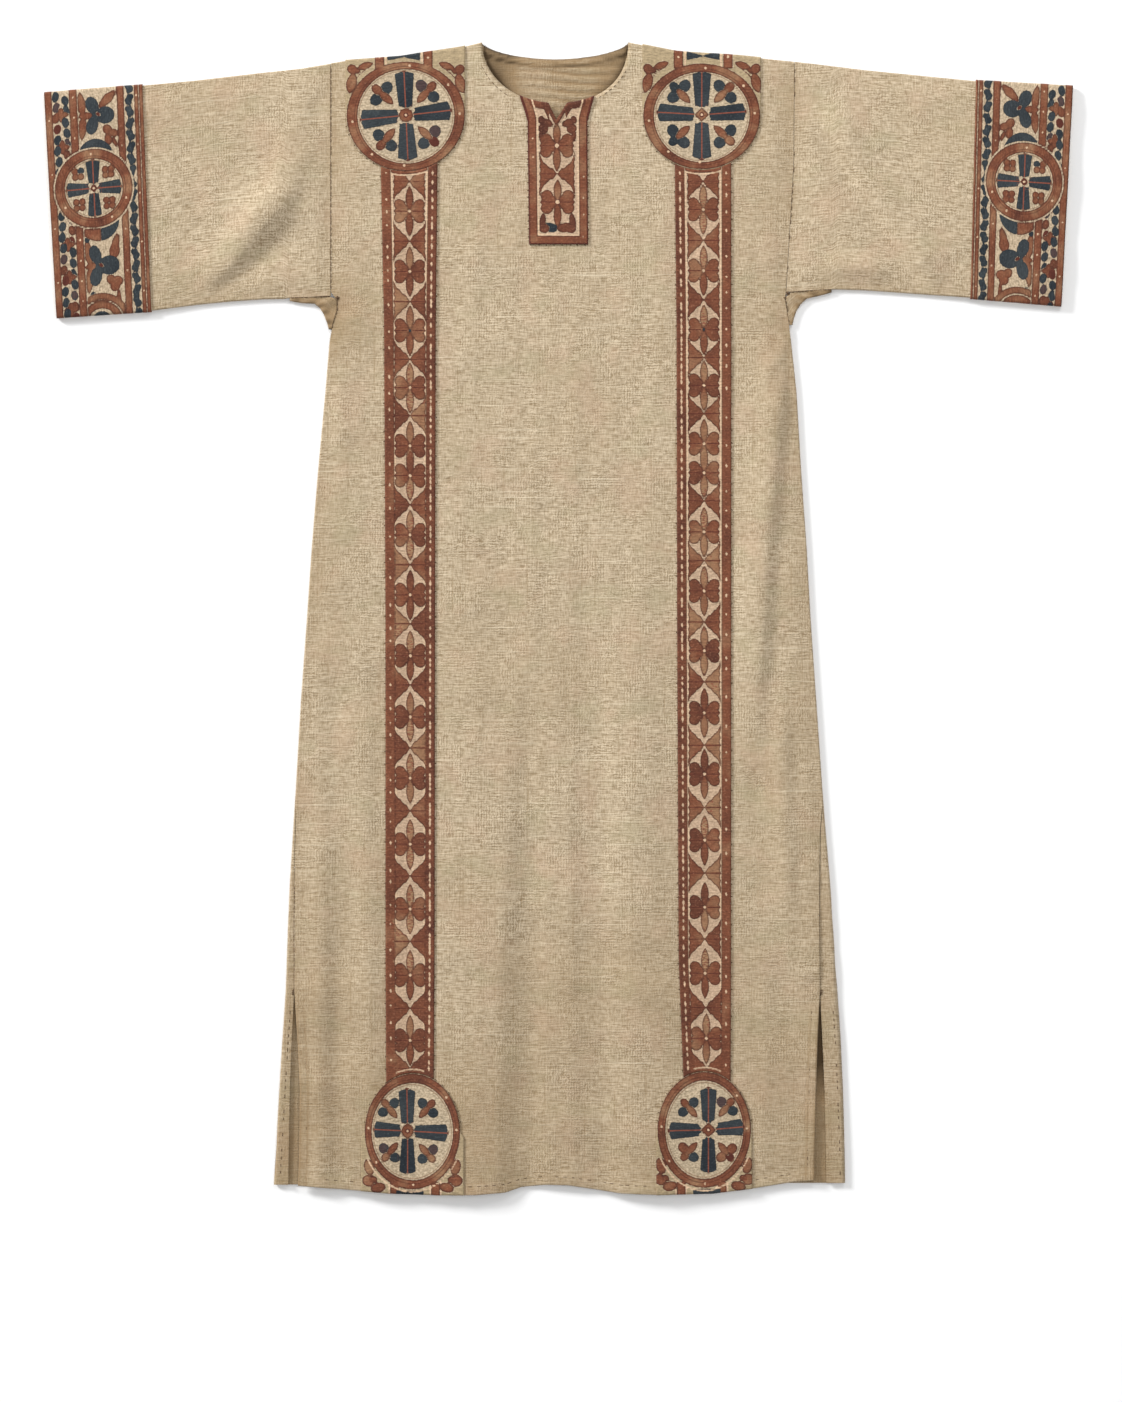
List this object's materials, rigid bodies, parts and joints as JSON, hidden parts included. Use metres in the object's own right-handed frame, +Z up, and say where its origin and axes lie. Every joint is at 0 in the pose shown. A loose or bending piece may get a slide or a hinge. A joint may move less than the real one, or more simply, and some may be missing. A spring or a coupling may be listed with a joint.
{
  "type": "coptic tunic laid flat",
  "caption": "Long T-shaped tunic of coarse cloth with wide short sleeves, laid flat on its back, with tapestry stripes, roundels, cuff bands and a neck panel.",
  "frame": {"origin": "centre of the tunic's box, on the surface that its back lies on", "axes": "+Y towards the neck, +Z up out of the front, +X towards the right sleeve as seen from above"},
  "size_m": [1.1602, 1.2998, 0.0128],
  "materials": {
    "tabby_cloth": "coarse slubby tabby weave, undyed tan, matt",
    "madder_tapestry": "weft-faced wool tapestry in brick red, matt",
    "indigo_tapestry": "weft-faced wool tapestry in dark blue, matt",
    "undyed_tapestry": "weft-faced tapestry in cream, matt",
    "sewing_thread": "hand-spun sewing thread, matt"
  },
  "bodies": {
    "root": {"back": "tabby_cloth", "front": "tabby_cloth", "neck_panel": "madder_tapestry", "sleeve_left": "tabby_cloth", "gusset_left": "tabby_cloth", "cuff_band_left": "madder_tapestry", "shoulder_roundel_left": "madder_tapestry", "clavus_left": "madder_tapestry", "hem_roundel_left": "madder_tapestry", "sleeve_right": "tabby_cloth", "gusset_right": "tabby_cloth", "cuff_band_right": "madder_tapestry", "shoulder_roundel_right": "madder_tapestry", "clavus_right": "madder_tapestry", "hem_roundel_right": "madder_tapestry"}
  },
  "joints": []
}
